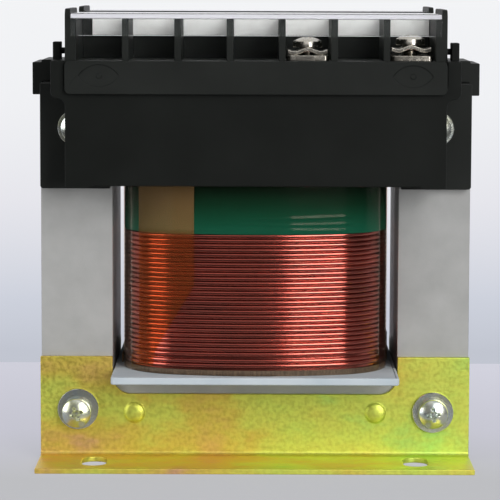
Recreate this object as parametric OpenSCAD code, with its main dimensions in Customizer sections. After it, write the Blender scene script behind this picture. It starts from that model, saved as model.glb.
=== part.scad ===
// Laminated chassis transformer: an interleaved E-I core that stands on two folded feet, a wound
// bobbin on the centre leg, and a barrier terminal strip with a clear cover along each top edge.
// Origin: centre of the base, +Z up. The front is -Y. The rear half is the front half turned
// about Z, except for its terminals.

/* [Core] */
// Width of the lamination stack
core_w = 84; // [82:0.5:86]
// Height of the lamination stack
core_h = 70; // [69:0.5:71]
// Thickness of the lamination stack
stack_t = 30; // [28:1:34]
// Width of an outer limb and of each yoke; the centre leg is twice this
limb_w = 14; // [13.5:0.25:14]
// Packets of sheets that face alternate ways, which stand for single sheets
packet_count = 6; // [4:2:10]
// Distance from the stack's edges to the centres of its corner holes
hole_inset = 7; // [6.5:0.25:7.5]
// Diameter of the corner holes
hole_d = 4.5; // [4:0.1:4.8]

/* [Feet] */
// Height of the stack's lower face above the mounting plane
core_lift = 2.6; // [2.4:0.1:3]
// Sheet thickness of the feet
sheet_t = 1; // [0.8:0.1:1.2]
// Width of each foot
foot_w = 84.4; // [84:0.1:86]
// How far a foot reaches out from the stack's face
foot_reach = 16; // [15.5:0.25:17]
// Height of the ears at both ends of a foot
ear_top = 20.5; // [19:0.5:22]
// Height of a foot's upright between its ears
web_top = 13.1; // [12.5:0.1:14]
// Radius of the corners between the ears and the web
web_corner = 3.6; // [2:0.2:4.5]
// Distance between the mounting slots across the width
slot_pitch_x = 62.5; // [60:0.5:64]
// Distance between the mounting slots from front to rear
slot_pitch_y = 46; // [45:0.5:47]
// Width of a mounting slot
slot_w = 4.8; // [4.5:0.1:5.2]
// Length of a mounting slot, from front to rear
slot_l = 9; // [8:0.5:9.5]
// Distance of the pressed bosses from the centre
boss_x = 23.7; // [20:0.1:25]

/* [Coil] */
// Half width of the finished coil
coil_half_w = 25.9; // [25:0.1:26]
// Half depth of the finished coil, at the crown of its front
coil_half_d = 26.2; // [26:0.1:27]
// How much longer the radius of the coil's crowned front is than that of its corners
crown_run = 45; // [40:1:50]
// Pitch of the outer layer of copper wire
wire_pitch = 0.915; // [0.9:0.005:0.93]
// Turns in the outer layer
turn_count = 28; // [26:1:29]
// Turns at the bottom of the layer that stand apart from the rest
low_turns = 2; // [0:1:4]
// Gap above those turns
turn_gap = 0.4; // [0:0.1:0.6]
// Height of the margin tape under the outer layer
margin_h = 1.1; // [0.8:0.1:1.2]
// Thickness of a bobbin flange
flange_t = 1.45; // [1.2:0.05:1.6]

/* [Terminals] */
// Distance between neighbouring compartments
way_pitch = 9.9; // [9.8:0.05:10]
// Thickness of a barrier
barrier_t = 1.25; // [1.1:0.05:1.4]
// Height of the barriers' tops
barrier_top = 87; // [86:0.25:88]
// Height of the strip's front wall and of the seats for the terminals
seat_z = 79; // [78.5:0.25:79.5]
// Front compartments that hold a terminal, counted from the left
front_ways = [5, 7]; // [1:1:7]
// Rear compartments that hold a terminal, counted from the left as seen from behind
rear_ways = [1, 4, 7]; // [1:1:7]

/* [Hidden] */
$fn = 48;

way_count = 7;                                // compartments in each terminal strip
nil = 0.01;                                   // overshoot of cuts
face_y = stack_t / 2;                         // stack's face from the centre
core_top = core_lift + core_h;
window_w = (core_w - 4 * limb_w) / 2;
window_z0 = core_lift + limb_w;
window_z1 = core_top - limb_w;
hole_x = core_w / 2 - hole_inset;
hole_z0 = core_lift + hole_inset;
hole_z1 = core_top - hole_inset;
packet_t = stack_t / packet_count;
lacquer = 0.05;                               // gap between packets

// Bobbin
tube_t = 1.2;
tube_gap = 0.15;                              // around the centre leg
tube_half_x = limb_w + tube_gap + tube_t;
tube_half_y = face_y + tube_gap + tube_t;
flange_half_x = core_w / 2 - limb_w - 0.25;
flange_half_y = face_y + 13.1;
flange_z0 = window_z0 + 0.15;
wind_z0 = flange_z0 + flange_t;
flange_z1 = window_z1 - 0.15;
wind_z1 = flange_z1 - flange_t;

// Winding layers, as depths below the finished coil's surface
film_t = 0.1;
wire_r = 0.475;
wire_axis = 0.48;
primary_depth = 5.2;
paper_t = 0.5;
turns_z0 = wind_z0 + margin_h + 0.4;
turns_z1 = turns_z0 + turn_count * wire_pitch + turn_gap;

// Housing parts, as distances from the centre along Y or heights
frame_t = 2;
frame_y = face_y + frame_t;
frame_z0 = 53.7;
shelf_t = 1.6;
shelf_z = core_top + shelf_t;
frame_split = 0.1;                            // half the gap between front and rear frames
skirt_y = face_y + 14.8;
skirt_z0 = 55.2;
skirt_half_x = 36.2;
wall_t = 1.5;
cradle_half_x = 38.9;
flank_r = 1.35;                               // both arcs of the S in the housing's flank
strip_half_x = 36.2;
apron_t = 1.1;
apron_z0 = core_top + 0.1;
apron_y = skirt_y + apron_t;
strip_back = 9.3;
back_t = 1.2;
back_top = barrier_top + 0.9;
end_half_x = way_count * way_pitch / 2 - barrier_t / 2;
fin_t = 1;
fin_top = barrier_top + 1.8;
floor_t = 1.2;
seat_y0 = 12;
seat_y1 = 28.4;
barrier_y = skirt_y - 0.4;
marker_t = 0.6;
marker_z0 = 83.5;
cover_t = 0.9;
lip_z0 = 83.75;
lip_t = 1;
post_y = 22;
peg_z = 80.7;
lug_half_x = 44.2;
bridge_top = 78.5;

// Fasteners
thread_d = 3;
head_d = 5.7;
head_h = 2;
washer_t = 0.8;
nut_af = 5.5;
nut_h = 2.4;
terminal_y = 20.5;
plate_t = 1;
plate_w = 7.9;
clamp_w = 7.7;
clamp_t = 0.75;
lead_y = 24.6;
lead_d = 1.1;

function way_x(way) = (way - (way_count + 1) / 2) * way_pitch;
// The last front terminal is left a little looser than the others
function lift_of(way, rear) = !rear && way == 7 ? 0.5 : 0;

// ---- helpers ----

module rear() { rotate([0, 0, 180]) children(); }

// Both signs of X
module sides() { for (m = [0, 1]) mirror([m, 0, 0]) children(); }

// A plan outline in X and Y, raised from z0 to z1
module slab(z0, z1) { translate([0, 0, z0]) linear_extrude(z1 - z0) children(); }

// A front outline in X and Z, carried from y0 back to y1
module plate(y0, y1) { translate([0, y1, 0]) rotate([90, 0, 0]) linear_extrude(y1 - y0) children(); }

// A side outline in Y and Z, carried across from x0 to x1
module bar(x0, x1) { translate([x0, 0, 0]) rotate([90, 0, 90]) linear_extrude(x1 - x0) children(); }

module box(a, b) { translate(a) cube(b - a); }

// A round rod or cutter along Y
module pin(x, z, d, y0, y1) { translate([x, y1, z]) rotate([90, 0, 0]) cylinder(d = d, h = y1 - y0); }

module rounded(w, h, r) {
    square([w - 2 * r, h], center = true);
    square([w, h - 2 * r], center = true);
    for (x = [-1, 1], y = [-1, 1]) translate([x * (w / 2 - r), y * (h / 2 - r)]) circle(r);
}

// The coil's plan: flat sides, and a crowned front and rear whose arcs run tangent into four
// corner arcs. The arcs meet where sin = 0.28 and cos = 0.96, the angle of a 7-24-25 triangle.
crown_sin = 0.28;
crown_cos = 0.96;
corner_x = crown_run * crown_sin;
corner_r = coil_half_w - corner_x;
corner_y = coil_half_d - corner_r - crown_run * (1 - crown_cos);
face_r = crown_run + corner_r;
face_cy = corner_y - crown_run * crown_cos;
far = 100;

module both(axis) { for (m = [0, 1]) mirror(m * axis) children(); }

// Keeps one sector of a full ring, so that neighbouring arcs share the same cut plane
module sector(points) {
    intersection() {
        children();
        slab(0, core_top) polygon(points);
    }
}

// Carries a section around that plan. X in the section is the distance out from the surface.
module around_coil() {
    both([0, 1, 0])
        sector([[0, face_cy], far * [crown_sin, crown_cos] + [0, face_cy],
            far * [-crown_sin, crown_cos] + [0, face_cy]])
            translate([0, face_cy, 0]) rotate_extrude() translate([face_r, 0]) children();
    both([1, 0, 0]) both([0, 1, 0])
        sector([[corner_x, corner_y], [corner_x + far, corner_y], [corner_x + far, corner_y + far],
            far * [crown_sin, crown_cos] + [corner_x, corner_y]])
            translate([corner_x, corner_y, 0]) rotate_extrude() translate([corner_r, 0]) children();
    both([1, 0, 0]) rotate([90, 0, 0]) linear_extrude(2 * corner_y, center = true)
        translate([coil_half_w, 0]) children();
}

// The same plan as a filled outline, a given depth below the surface
function arc(cx, cy, r, a0, a1, n) =
    [for (i = [0:n]) let (a = a0 + (a1 - a0) * i / n) [cx + r * cos(a), cy + r * sin(a)]];
function reverse(list) = [for (i = [len(list) - 1:-1:0]) list[i]];
module coil_plan(depth) {
    joint = acos(crown_sin);
    quarter = concat(arc(corner_x, corner_y, corner_r - depth, 0, joint, 10),
        arc(0, face_cy, face_r - depth, joint + 2, 90, 3));
    half = concat(quarter, [for (p = reverse(quarter)) [-p.x, p.y]]);
    polygon(concat(half, [for (p = reverse(half)) [p.x, -p.y]]));
}

// ---- core ----

module e_outline() {
    difference() {
        translate([-core_w / 2, 0]) square([core_w, core_h - limb_w]);
        sides() translate([limb_w, limb_w]) square([window_w, core_h]);
        sides() translate([hole_x, hole_inset]) circle(d = hole_d);
    }
}

module i_outline() {
    difference() {
        translate([-core_w / 2, core_h - limb_w]) square([core_w, limb_w]);
        sides() translate([hole_x, core_h - hole_inset]) circle(d = hole_d);
    }
}

// Packets of sheets, every other one turned upside down so that their joints are staggered
module interleave() {
    for (i = [0:packet_count - 1]) {
        y0 = -face_y + i * packet_t + lacquer / 2;
        flip = i % 2;
        plate(y0, y0 + packet_t - lacquer)
            translate([0, flip ? core_top : core_lift]) mirror([0, flip, 0]) children();
    }
}

module e_laminations() { color([0.66, 0.66, 0.66]) interleave() e_outline(); }

module i_laminations() { color([0.6, 0.6, 0.6]) interleave() i_outline(); }

// ---- coil ----

module bobbin() {
    lead_notch = 1.8;
    color([0.86, 0.89, 0.93]) difference() {
        union() {
            slab(flange_z0, flange_z1) rounded(2 * tube_half_x, 2 * tube_half_y, 1.2);
            for (z = [flange_z0, wind_z1])
                slab(z, z + flange_t) rounded(2 * flange_half_x, 2 * flange_half_y, 0.8);
        }
        slab(flange_z0 - 1, flange_z1 + 1)
            square([2 * (limb_w + tube_gap), 2 * (face_y + tube_gap)], center = true);
        // notches in the upper flange that the leads rise through
        for (x = [way_x(5), 20])
            box([x - lead_notch / 2, -flange_half_y - 1, wind_z1 - 1],
                [x + lead_notch / 2, -coil_half_d + 1, flange_z1 + 1]);
        for (x = [-20, 0, 20])
            box([x - lead_notch / 2, coil_half_d - 1, wind_z1 - 1],
                [x + lead_notch / 2, flange_half_y + 1, flange_z1 + 1]);
    }
}

module primary_winding() {
    color([0.7, 0.36, 0.2]) difference() {
        slab(wind_z0, wind_z1) coil_plan(primary_depth + 0.05);
        slab(wind_z0 - 1, wind_z1 + 1) rounded(2 * tube_half_x, 2 * tube_half_y, 1.2);
    }
}

module winding_insulation() {
    color([0.82, 0.7, 0.5]) around_coil()
        translate([-primary_depth, wind_z0]) square([paper_t, wind_z1 - wind_z0]);
}

// The outer layer shows each turn of wire; the layers under it are one band
module secondary_winding() {
    band_t = primary_depth - paper_t - wire_axis;
    color([0.62, 0.23, 0.14]) around_coil() {
        translate([-wire_axis - band_t, wind_z0]) square([band_t, wind_z1 - wind_z0]);
        for (i = [0:turn_count - 1])
            translate([-wire_axis, turns_z0 + (i + 0.5) * wire_pitch + (i < low_turns ? 0 : turn_gap)])
                circle(wire_r);
    }
}

// A flat band wound round the coil, level with the crests of the wire
module band(z0, z1, inner, outer) {
    around_coil() translate([-inner, z0]) square([inner + outer, z1 - z0]);
}

module margin_tape() { color([0.42, 0.4, 0.28]) band(wind_z0, wind_z0 + margin_h, wire_axis, 0); }

module green_tape() { color([0.02, 0.4, 0.3]) band(turns_z1 + 0.05, wind_z1, wire_axis, 0); }

module outer_film() { color([1, 0.9, 0.8, 0.3]) band(wind_z0, wind_z1, 0, film_t); }

// Edges of the liner that stand out between the coil and the outer limbs
module paper_liners() {
    liner_t = 0.25;
    gap_x = coil_half_w + film_t + 0.3;
    color([0.72, 0.56, 0.36]) {
        box([gap_x, -3, wind_z0], [gap_x + liner_t, 4, wind_z0 + 5.6]);
        box([-gap_x - liner_t, -8, wind_z0], [-gap_x, -4, wind_z0 + 1.8]);
        box([-gap_x - liner_t, 9, wind_z0], [-gap_x, 13, wind_z0 + 5]);
    }
}

// ---- feet ----

module foot_section() {
    bend_r = 0.8;
    upright_y = -face_y - sheet_t;
    translate([upright_y, sheet_t + bend_r]) square([sheet_t, ear_top - sheet_t - bend_r]);
    translate([-face_y - foot_reach, 0]) square([foot_reach - sheet_t - bend_r, sheet_t]);
    translate([upright_y - bend_r, sheet_t + bend_r]) difference() {
        intersection() {
            circle(bend_r + sheet_t);
            translate([0, -5]) square(5);
        }
        circle(bend_r);
    }
}

module slot_plan() {
    straight = slot_l - slot_w;
    square([slot_w, straight], center = true);
    for (y = [-1, 1]) translate([0, y * straight / 2]) circle(d = slot_w);
}

module foot() {
    boss_d = 4.1;
    boss_h = 0.7;
    screw_hole = 3.6;
    notch_half = core_w / 2 - limb_w;
    color([0.76, 0.72, 0.3]) difference() {
        union() {
            bar(-foot_w / 2, foot_w / 2) foot_section();
            sides() pin(boss_x, hole_z0 - 0.2, boss_d, -face_y - sheet_t - boss_h, -face_y - sheet_t);
        }
        plate(-face_y - 3, -face_y + 3) {
            translate([-notch_half, web_top + web_corner]) square([2 * notch_half, ear_top]);
            translate([-notch_half + web_corner, web_top])
                square([2 * (notch_half - web_corner), ear_top]);
            sides() translate([notch_half - web_corner, web_top + web_corner]) circle(web_corner);
        }
        sides() pin(boss_x, hole_z0 - 0.2, boss_d - 0.7, -face_y - boss_h, -face_y + nil);
        sides() pin(hole_x, hole_z0, screw_hole, -face_y - 3, -face_y + 3);
        slab(-1, 3) sides() translate([slot_pitch_x / 2, -slot_pitch_y / 2]) slot_plan();
    }
}

module front_foot() { foot(); }

module rear_foot() { rear() foot(); }

// ---- clamp fasteners ----

module cross_recess(depth) {
    for (a = [0, 90]) rotate([0, 0, a]) box([-1.5, -0.32, -depth], [1.5, 0.32, 1]);
}

// A pan head that stands up from the origin, on a shank of a given length
module pan_screw(shank) {
    dome_r = 5;
    difference() {
        union() {
            intersection() {
                cylinder(d = head_d, h = head_h);
                translate([0, 0, head_h - dome_r]) sphere(dome_r);
            }
            translate([0, 0, -shank]) cylinder(d = thread_d, h = shank + 0.5);
        }
        translate([0, 0, head_h]) cross_recess(1.2);
    }
}

// What is clamped between the faces at y = -face and y = face
module clamp_screws(face, z) {
    head_y = face + 2 * washer_t;
    sides() translate([hole_x, -head_y, z]) rotate([90, 0, 0])
        pan_screw(head_y + face + washer_t + nut_h + 1);
}

foot_face = face_y + sheet_t;

module lower_screws() { color([0.8, 0.78, 0.66]) clamp_screws(foot_face, hole_z0); }

module upper_screws() { color([0.8, 0.78, 0.66]) clamp_screws(frame_y, hole_z1); }

module ring(x, z, y0, y1, d, bore) {
    difference() {
        pin(x, z, d, y0, y1);
        pin(x, z, bore, y0 - 1, y1 + 1);
    }
}

// A slip moves the front left washer sideways and up on its screw, as far as the bore lets it
module washers(face, z, d, bore, slip) {
    for (x = [-1, 1], end = [0, 1]) {
        y0 = end == 0 ? -face - washer_t : face;
        moved = x < 0 && end == 0 ? slip : [0, 0];
        ring(x * hole_x + moved.x, z + moved.y, y0, y0 + washer_t, d, bore);
    }
}

module lower_flat_washers() {
    color([0.82, 0.8, 0.62]) washers(foot_face, hole_z0, 8.1, 4.2, [0.25, 0.5]);
}

module upper_flat_washers() {
    color([0.82, 0.8, 0.62]) washers(frame_y, hole_z1, 7, 3.2, [0, 0]);
}

module spring_washers() {
    color([0.75, 0.75, 0.7]) for (spot = [[foot_face, hole_z0], [frame_y, hole_z1]])
        sides() difference() {
            ring(hole_x, spot[1], -spot[0] - 2 * washer_t, -spot[0] - washer_t, 5.4, 3.2);
            translate([hole_x + 2.2, -spot[0] - 1.5 * washer_t, spot[1]]) rotate([0, 0, 20])
                cube([3, 0.3, 3 * washer_t], center = true);
        }
}

module hex_nuts() {
    color([0.8, 0.78, 0.62]) for (spot = [[foot_face, hole_z0], [frame_y, hole_z1]])
        sides() translate([hole_x, spot[0] + washer_t, spot[1]]) rotate([-90, 0, 0]) difference() {
            cylinder(d = nut_af / cos(30), h = nut_h, $fn = 6);
            translate([0, 0, -1]) cylinder(d = thread_d, h = nut_h + 2);
        }
}

// ---- moulded frame and housing ----

module frame() {
    opening_half = core_w / 2 - limb_w + 0.4;
    color([0.08, 0.08, 0.09]) difference() {
        union() {
            plate(-frame_y, -face_y) translate([0, (frame_z0 + shelf_z) / 2])
                rounded(core_w, shelf_z - frame_z0, 0.6);
            box([-core_w / 2, -frame_y, core_top], [core_w / 2, -frame_split, shelf_z]);
        }
        box([-opening_half, -frame_y - 1, frame_z0 - 1], [opening_half, -face_y + 1, window_z1 + 0.3]);
        sides() pin(hole_x, hole_z1, 3.6, -frame_y - 1, -face_y + 1);
        // room above the stack for the lead wires to cross
        for (x = [-24, 0, 24]) box([x - 8, -12, core_top - 1], [x + 8, -3, shelf_z + 1]);
    }
}

module front_frame() { frame(); }

module rear_frame() { rear() frame(); }

// Half of the housing's front outline: the skirt, an S in its flank, and the cradle above it
module housing_outline() {
    s_z = core_top - 2.2;
    toe_x = 31.2;
    toe_drop = 0.45;
    sides() {
        translate([0, skirt_z0]) square([skirt_half_x, s_z + flank_r - skirt_z0]);
        polygon([[toe_x, skirt_z0 + nil], [toe_x + 0.6, skirt_z0 - toe_drop],
            [skirt_half_x, skirt_z0 - toe_drop], [skirt_half_x, skirt_z0 + nil]]);
        difference() {
            translate([0, s_z]) square([skirt_half_x + flank_r, flank_r]);
            translate([skirt_half_x + flank_r, s_z]) circle(flank_r);
        }
        translate([0, s_z + flank_r]) square([cradle_half_x - flank_r, seat_z - s_z - flank_r]);
        translate([cradle_half_x - flank_r, s_z + 2 * flank_r]) circle(flank_r);
        translate([0, s_z + 2 * flank_r]) square([cradle_half_x, seat_z - s_z - 2 * flank_r]);
    }
}

module housing(ways) {
    post_w = 1.5;
    post_depth = 4;
    color([0.07, 0.07, 0.08]) difference() {
        union() {
            plate(-skirt_y, -frame_y) housing_outline();
            sides() box([cradle_half_x - post_w, -post_y - post_depth / 2, seat_z - 1],
                [cradle_half_x, -post_y + post_depth / 2, 82.4]);
        }
        // the skirt is hollow and open below
        box([-skirt_half_x + wall_t, -skirt_y + wall_t, skirt_z0 - 2],
            [skirt_half_x - wall_t, -frame_y + 1, core_top]);
        // the cradle takes the terminal strip
        box([-strip_half_x - 0.1, -skirt_y - 1, shelf_z],
            [strip_half_x + 0.1, -frame_y + 1, seat_z + 1]);
        // room for the clamp screws' heads
        sides() box([skirt_half_x - 6, -frame_y - 5, hole_z1 - 4.6],
            [cradle_half_x, -frame_y + 1, hole_z1 + 4.3]);
        // bores for the strip's pegs, and holes for the leads
        sides() translate([strip_half_x, -post_y, peg_z]) rotate([0, 90, 0])
            cylinder(d = 1.3, h = 1.9);
        for (way = ways) translate([way_x(way), -lead_y, core_top - 1]) cylinder(d = 2, h = 4);
    }
}

module front_housing() { housing(front_ways); }

module rear_housing() { rear() housing(rear_ways); }

// ---- terminal strip ----

module oval(w, h) {
    intersection() {
        translate([0, -(w * w / h - h) / 4]) circle((w * w / h + h) / 4);
        translate([0, (w * w / h - h) / 4]) circle((w * w / h + h) / 4);
    }
}

// Side outline of an end fin, with rounded upper corners
module fin_outline() {
    r = 1.6;
    translate([-barrier_y, shelf_z]) square([barrier_y - strip_back, fin_top - r - shelf_z]);
    translate([-barrier_y + r, shelf_z]) square([barrier_y - strip_back - 2 * r, fin_top - shelf_z]);
    for (y = [-barrier_y + r, -strip_back - r]) translate([y, fin_top - r]) circle(r);
}

module strip(ways) {
    oval_x = 29.7;
    oval_z = 76.2;
    mark = 0.2;
    color([0.06, 0.06, 0.07]) difference() {
        union() {
            // floor, seats and back wall
            box([-strip_half_x, -skirt_y, shelf_z], [strip_half_x, -strip_back, shelf_z + floor_t]);
            box([-end_half_x - nil, -seat_y1, shelf_z], [end_half_x + nil, -seat_y0, seat_z]);
            box([-strip_half_x, -strip_back - back_t, shelf_z], [strip_half_x, -strip_back, back_top]);
            // front wall, which hangs in front of the housing
            plate(-apron_y, -skirt_y) translate([0, (apron_z0 + seat_z) / 2])
                rounded(2 * strip_half_x, seat_z - apron_z0, 1);
            box([-strip_half_x, -skirt_y - nil, shelf_z], [strip_half_x, -skirt_y + 0.8, seat_z - 0.6]);
            // barriers, end walls and fins
            for (i = [1:way_count - 1]) {
                x = way_x(i + 0.5);
                box([x - barrier_t / 2, -barrier_y, shelf_z],
                    [x + barrier_t / 2, -strip_back, barrier_top]);
            }
            sides() box([end_half_x, -barrier_y, shelf_z], [strip_half_x - fin_t, -strip_back, barrier_top]);
            sides() bar(strip_half_x - fin_t - nil, strip_half_x) fin_outline();
            sides() translate([strip_half_x - nil, -post_y, peg_z]) rotate([0, 90, 0])
                cylinder(d = 1.2, h = 1.8);
        }
        // channel for the marker strip
        box([-end_half_x, -strip_back - back_t - marker_t - 0.1, marker_z0 - 0.1],
            [end_half_x, -strip_back - back_t, barrier_top + 1]);
        // sockets under the terminals, and holes for the leads
        for (way = [1:way_count])
            translate([way_x(way), -terminal_y, shelf_z + floor_t]) cylinder(d = 5.4, h = 6);
        for (way = ways) translate([way_x(way), -lead_y, shelf_z - 1]) cylinder(d = 2, h = 8);
        // shallow oval marks left by the mould
        sides() plate(-apron_y - 1, -apron_y + mark) translate([oval_x, oval_z]) difference() {
            oval(7.6, 4.2);
            circle(0.5);
        }
    }
}

module front_strip() { strip(front_ways); }

module rear_strip() { rear() strip(rear_ways); }

// A blank strip behind the barriers
module marker() {
    length = 66;
    shift = 0.9;
    y1 = -strip_back - back_t;
    color([0.88, 0.88, 0.85]) box([shift - length / 2, y1 - marker_t, marker_z0],
        [shift + length / 2, y1, barrier_top - 0.1]);
}

module front_marker() { marker(); }

module rear_marker() { rear() marker(); }

// A clear cover: a flat top on the barriers and a lip that hangs over their front
module cover() {
    half_x = strip_half_x - fin_t - 0.2;
    y0 = -barrier_y - 0.2 - lip_t;
    top_z = barrier_top + 0.05 + cover_t;
    r = 0.6;
    color([0.9, 0.93, 0.95, 0.35]) bar(-half_x, half_x) {
        translate([y0 + r, top_z - cover_t])
            square([-strip_back - back_t - 0.1 - y0 - r, cover_t]);
        translate([y0, lip_z0]) square([lip_t, top_z - r - lip_z0]);
        translate([y0 + r, top_z - r]) circle(r);
    }
}

module front_cover() { cover(); }

module rear_cover() { rear() cover(); }

// The moulding between the two strips, with a lug that laps each end of the stack
module top_bridge() {
    bridge_y = strip_back - 0.2;
    lug_y = 8;
    lug_z0 = core_top - 1;
    color([0.1, 0.1, 0.11]) difference() {
        union() {
            slab(shelf_z, bridge_top) rounded(2 * cradle_half_x + 3, 2 * bridge_y, 1);
            sides() {
                box([40.4, -lug_y, shelf_z], [42.4, lug_y, bridge_top]);
                box([42.1, -lug_y, lug_z0], [lug_half_x, lug_y, bridge_top - 0.5]);
            }
        }
        slab(shelf_z - 1, bridge_top - 1.6) rounded(2 * cradle_half_x, 2 * bridge_y - 3, 1);
        sides() for (i = [0:4]) slab(bridge_top - 2, bridge_top + 1)
            translate([7 * (i + 0.5), 0]) rounded(2, 10, 0.99);
    }
}

// ---- terminals ----

module terminal_at(way, z) { translate([way_x(way), -terminal_y, z]) children(); }

module contact_plate() {
    plate_l = 14;
    difference() {
        union() {
            slab(0, plate_t) rounded(plate_w, plate_l, 0.8);
            translate([0, 0, -2]) cylinder(d = 5, h = 2.5);
        }
        translate([0, 0, -3]) cylinder(d = thread_d, h = 6);
        translate([0, terminal_y - lead_y, -1]) cylinder(d = 1.4, h = 3);
    }
}

// Height of the clamp's mid surface at x: flat under the screw, a groove for a wire on each side
function wave(x) = 0.35 * cos(360 * x / clamp_w * 1.5);

module saddle_clamp() {
    steps = 22;
    clamp_l = 7.6;
    xs = [for (i = [0:steps]) clamp_w * (i / steps - 0.5)];
    difference() {
        plate(-clamp_l / 2, clamp_l / 2) polygon(concat(
            [for (x = xs) [x, wave(x) + 0.35]],
            [for (i = [steps:-1:0]) [xs[i], wave(xs[i]) + 0.35 + clamp_t]]));
        translate([0, 0, -1]) cylinder(d = 3.5, h = 4);
    }
}

module plates(ways) { color([0.8, 0.8, 0.78]) for (way = ways) terminal_at(way, seat_z) contact_plate(); }

module clamps(ways, rear) {
    color([0.85, 0.84, 0.8]) for (way = ways)
        terminal_at(way, seat_z + plate_t + lift_of(way, rear)) saddle_clamp();
}

module terminal_screws(ways, rear) {
    under_head = seat_z + plate_t + 0.7 + clamp_t;
    color([0.86, 0.85, 0.8]) for (way = ways)
        terminal_at(way, under_head + lift_of(way, rear)) pan_screw(5);
}

module front_plates() { plates(front_ways); }

module rear_plates() { rear() plates(rear_ways); }

module front_clamps() { clamps(front_ways, false); }

module rear_clamps() { rear() clamps(rear_ways, true); }

module front_terminal_screws() { terminal_screws(front_ways, false); }

module rear_terminal_screws() { rear() terminal_screws(rear_ways, true); }

// A lead that follows the given points
module lead(points) {
    for (i = [0:len(points) - 2]) {
        step = points[i + 1] - points[i];
        translate(points[i]) rotate([0, acos(step.z / norm(step)), atan2(step.y, step.x)])
            cylinder(d = lead_d, h = norm(step));
    }
    for (i = [1:len(points) - 2]) translate(points[i]) sphere(d = lead_d + 0.15);
}

// From the coil's top edge, up through the flange's notch and the housing to a terminal
module lead_to(way, start_x) {
    rise_y = coil_half_d + film_t + lead_d / 2 + 0.1;
    lead([[start_x, -rise_y, wind_z1 - 2], [start_x, -rise_y, flange_z1 + 2],
        [way_x(way), -lead_y, flange_z1 + 8], [way_x(way), -lead_y, seat_z]]);
}

module front_leads() {
    color([0.75, 0.3, 0.15]) {
        lead_to(5, way_x(5));
        lead_to(7, 20);
    }
}

module rear_leads() {
    color([0.75, 0.3, 0.15]) rear() {
        lead_to(1, -20);
        lead_to(4, 0);
        lead_to(7, 20);
    }
}

e_laminations();
i_laminations();
bobbin();
primary_winding();
winding_insulation();
secondary_winding();
margin_tape();
green_tape();
outer_film();
paper_liners();
front_foot();
rear_foot();
lower_screws();
upper_screws();
lower_flat_washers();
upper_flat_washers();
spring_washers();
hex_nuts();
front_frame();
rear_frame();
front_housing();
rear_housing();
front_strip();
rear_strip();
top_bridge();
front_cover();
rear_cover();
front_marker();
rear_marker();
front_plates();
rear_plates();
front_clamps();
rear_clamps();
front_terminal_screws();
rear_terminal_screws();
front_leads();
rear_leads();
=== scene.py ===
# Laminated chassis transformer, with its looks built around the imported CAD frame.
# Metres in the scene; the shape functions work in millimetres. Z is up and the front is -Y.
import math
import bmesh
import bpy
import numpy as np
from mathutils import Matrix, Vector


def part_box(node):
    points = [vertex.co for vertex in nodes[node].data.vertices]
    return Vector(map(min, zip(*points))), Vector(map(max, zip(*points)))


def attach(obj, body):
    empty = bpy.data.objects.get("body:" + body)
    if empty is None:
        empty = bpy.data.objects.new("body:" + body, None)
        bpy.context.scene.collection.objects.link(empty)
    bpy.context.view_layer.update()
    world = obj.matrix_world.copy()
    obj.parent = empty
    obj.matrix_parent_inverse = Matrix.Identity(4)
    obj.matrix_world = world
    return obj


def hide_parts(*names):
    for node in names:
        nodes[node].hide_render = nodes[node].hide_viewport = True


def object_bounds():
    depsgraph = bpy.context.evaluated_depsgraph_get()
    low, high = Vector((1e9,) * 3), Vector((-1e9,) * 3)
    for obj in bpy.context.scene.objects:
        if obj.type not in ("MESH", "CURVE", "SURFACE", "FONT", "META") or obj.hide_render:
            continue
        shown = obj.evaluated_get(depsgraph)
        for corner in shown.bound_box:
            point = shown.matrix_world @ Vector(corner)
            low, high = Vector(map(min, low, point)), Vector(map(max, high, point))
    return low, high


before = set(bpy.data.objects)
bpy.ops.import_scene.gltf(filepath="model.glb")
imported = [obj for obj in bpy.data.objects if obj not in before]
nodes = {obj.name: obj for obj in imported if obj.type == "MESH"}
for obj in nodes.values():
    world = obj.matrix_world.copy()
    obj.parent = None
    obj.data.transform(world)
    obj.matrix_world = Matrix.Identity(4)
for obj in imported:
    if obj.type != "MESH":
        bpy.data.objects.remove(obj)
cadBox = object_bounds()
scene = bpy.context.scene
mm = 0.001
print("frame loaded:", len(nodes), "nodes")


def nodeBox(name):  # lowest and highest corner of a CAD node, in millimetres
    low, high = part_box(name)
    return np.array(low) / mm, np.array(high) / mm


def gridQuads(rows, cols, closeRows=False, closeCols=False):
    # quads between neighbouring points of a rows x cols grid, wrapped where it closes
    r = np.arange(rows if closeRows else rows - 1)[:, None]
    c = np.arange(cols if closeCols else cols - 1)[None, :]
    nextRow, nextCol = (r + 1) % rows, (c + 1) % cols
    quads = [r * cols + c, r * cols + nextCol, nextRow * cols + nextCol, nextRow * cols + c]
    return np.stack(quads, axis=-1).reshape(-1, 4).tolist()


def tube(rings):
    # rings of points, shape (n, m, 3), joined one to the next, and a flat face at both ends
    n, m = rings.shape[:2]
    faces = gridQuads(n, m, closeCols=True)
    faces += [list(range(m))[::-1], list(range((n - 1) * m, n * m))]
    return rings.reshape(-1, 3), faces


def hoop(rings):
    # the same, but the last ring joins the first, as on a washer
    n, m = rings.shape[:2]
    return rings.reshape(-1, 3), gridQuads(n, m, closeRows=True, closeCols=True)


def outward(part):
    # six times the signed volume is the sum of triple products of each face's fan of triangles;
    # where it is negative the shape is inside out, and every face is turned round
    verts, faces = part
    tris = np.array([(f[0], f[i], f[i + 1]) for f in faces for i in range(1, len(f) - 1)])
    a, b, c = verts[tris[:, 0]], verts[tris[:, 1]], verts[tris[:, 2]]
    if np.einsum("ij,ij->i", a, np.cross(b, c)).sum() < 0:
        faces = [f[::-1] for f in faces]
    return verts, faces


def joined(parts):  # several parts as one list of points and one of faces
    verts, faces, start = [], [], 0
    for v, f in parts:
        verts.append(v)
        faces += [[i + start for i in face] for face in f]
        start += len(v)
    return np.concatenate(verts), faces


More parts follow.
